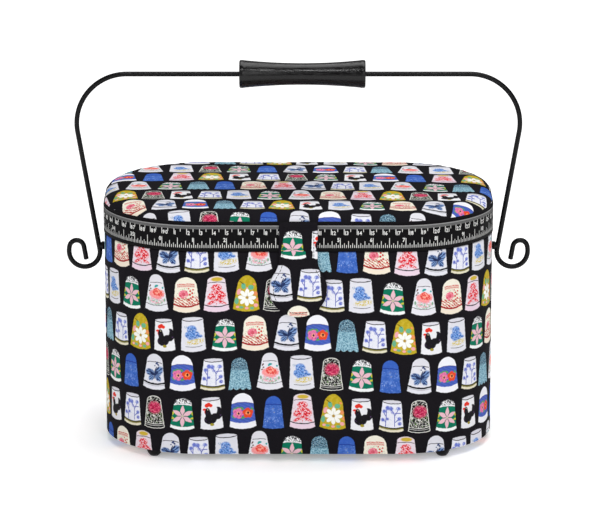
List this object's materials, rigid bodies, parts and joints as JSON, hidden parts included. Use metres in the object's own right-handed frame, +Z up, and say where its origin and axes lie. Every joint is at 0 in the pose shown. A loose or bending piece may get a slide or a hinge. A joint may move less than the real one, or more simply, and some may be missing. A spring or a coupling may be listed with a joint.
{
  "type": "sewing box with trays",
  "caption": "Oval fabric-covered sewing box with a padded hinged lid, swinging wire handle, magnetic closing tab and lift-out compartment trays.",
  "frame": {"origin": "on the floor under the centre of the box", "axes": "+X to the right along the box's length, front with the closing tab towards -Y, +Z up"},
  "size_m": [0.371, 0.2038, 0.3024],
  "materials": {
    "printed_cotton": "black cotton printed all over with rows of painted china thimbles",
    "black_cotton": "plain black woven cotton",
    "printed_tape": "black woven ribbon printed with a white tape-measure scale",
    "lining": "pale satin lining",
    "pincushion_cloth": "red cotton over wadding",
    "elastic": "gathered satin over elastic",
    "foam": "polyester wadding",
    "board": "grey-brown fibreboard",
    "ledge_card": "fibreboard covered in pale lining",
    "black_metal": "satin black enamel",
    "plated_steel": "zinc plate",
    "magnet": "nickel plate",
    "grip_wood": "turned wood in black lacquer",
    "foot_plastic": "moulded black",
    "tray_plastic": "moulded, off-white"
  },
  "bodies": {
    "box": {"side_board": "board", "base_board": "board", "body_cover": "printed_cotton", "base_cover": "black_cotton", "body_lining": "lining", "floor_panel": "lining", "tray_ledge": "ledge_card", "body_magnet": "magnet", "foot_front_left": "foot_plastic", "foot_front_right": "foot_plastic", "foot_back_left": "foot_plastic", "foot_back_right": "foot_plastic", "foot_washers": "plated_steel", "pivot_eyelet_left": "black_metal", "pivot_eyelet_right": "black_metal", "pivot_washer_left": "plated_steel", "pivot_washer_right": "plated_steel", "hinge_body_leaf_left": "black_metal", "hinge_body_leaf_right": "black_metal", "hinge_pin_left": "black_metal", "hinge_pin_right": "black_metal", "hinge_body_rivets": "black_metal"},
    "lid": {"lid_rim_board": "board", "lid_top_board": "board", "lid_pad": "foam", "lid_top_cover": "printed_cotton", "lid_side_cover": "black_cotton", "lid_piping": "black_cotton", "tape_trim": "printed_tape", "lid_lining": "lining", "pincushion": "pincushion_cloth", "lid_pocket": "lining", "pocket_elastic": "elastic", "hinge_lid_leaf_left": "black_metal", "hinge_lid_leaf_right": "black_metal", "hinge_lid_rivets": "black_metal"},
    "handle": {"handle_wire": "black_metal", "pivot_nut_left": "plated_steel", "pivot_nut_right": "plated_steel"},
    "grip": {"handle_grip": "grip_wood"},
    "tab": {"tab_core": "black_cotton", "tab_cover": "printed_cotton", "tab_magnet": "magnet"},
    "tray_left": {"tray_left": "tray_plastic"},
    "tray_right": {"tray_right": "tray_plastic"}
  },
  "joints": [
    {"name": "lid_hinge", "type": "hinge", "parent": "box", "child": "lid", "pos_m": [0, 0.1007, 0.17015], "axis": [-1, 0, 0], "range_deg": [0, 100]},
    {"name": "handle_swing", "type": "hinge", "parent": "box", "child": "handle", "pos_m": [0, 0, 0.1517], "axis": [-1, 0, 0], "range_deg": [0, 126]},
    {"name": "grip_spin", "type": "hinge", "parent": "handle", "child": "grip", "pos_m": [0.0032, 0, 0.2912], "axis": [1, 0, 0], "continuous": true},
    {"name": "tab_flip", "type": "hinge", "parent": "lid", "child": "tab", "pos_m": [0, -0.0995, 0.1931], "axis": [-1, 0, 0], "range_deg": [0, 110]},
    {"name": "tray_left_lift", "type": "slide", "parent": "box", "child": "tray_left", "axis": [0, 0, 1], "range_m": [0, 0.011]},
    {"name": "tray_right_lift", "type": "slide", "parent": "box", "child": "tray_right", "axis": [0, 0, 1], "range_m": [0, 0.011]}
  ],
  "couplings": [
    {"joint": "handle_swing", "follows": "lid_hinge", "ratio": 1.25}
  ]
}
